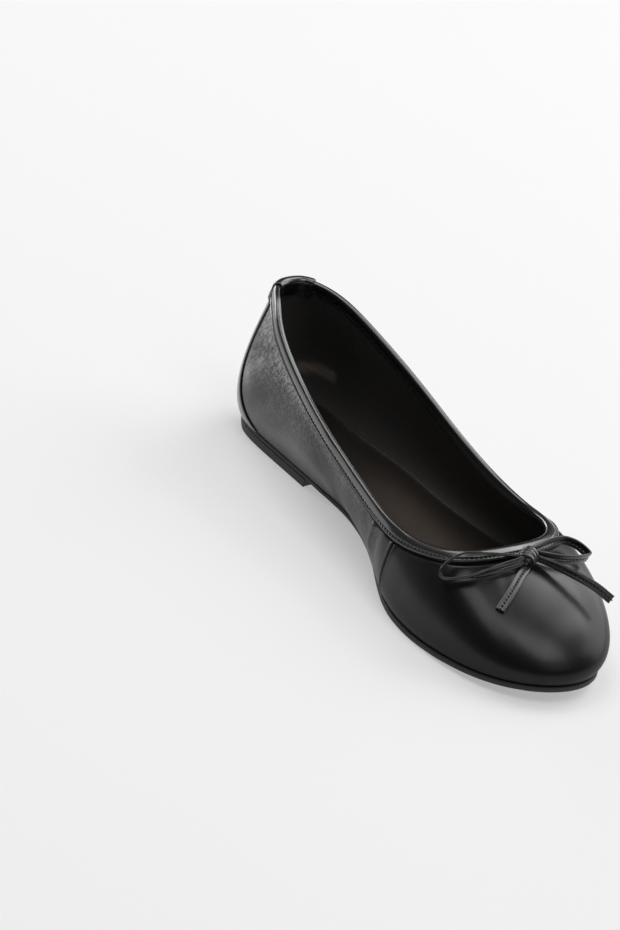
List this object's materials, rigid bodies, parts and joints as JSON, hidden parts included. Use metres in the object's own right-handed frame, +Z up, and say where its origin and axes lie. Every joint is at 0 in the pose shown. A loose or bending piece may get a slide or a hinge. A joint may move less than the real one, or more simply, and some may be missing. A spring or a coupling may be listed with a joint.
{
  "type": "ballet flat",
  "caption": "Black leather ballet flat for the left foot, with a round toe, a bound topline, a thin sole on a low heel and a small tied bow.",
  "frame": {"origin": "middle of the shoe's length and width, on the floor", "axes": "+Z up, -Y towards the toe, +X towards the outer side of the foot"},
  "size_m": [0.0904, 0.2556, 0.0737],
  "materials": {
    "upper_leather": "soft semi-gloss nappa with a fine grain",
    "binding_leather": "semi-gloss, folded and stitched",
    "sock_leather": "smooth satin",
    "sole": "matt, edges dyed black",
    "bow_leather": "semi-gloss strip, folded and stitched down its middle"
  },
  "bodies": {
    "root": {"upper": "upper_leather", "collar_binding": "binding_leather", "heel_strip": "binding_leather", "insole": "sock_leather", "outsole": "sole", "heel": "sole", "bow_knot": "bow_leather", "bow_loop_inner": "bow_leather", "bow_loop_outer": "bow_leather", "bow_tail_inner": "bow_leather", "bow_tail_outer": "bow_leather"}
  },
  "joints": []
}
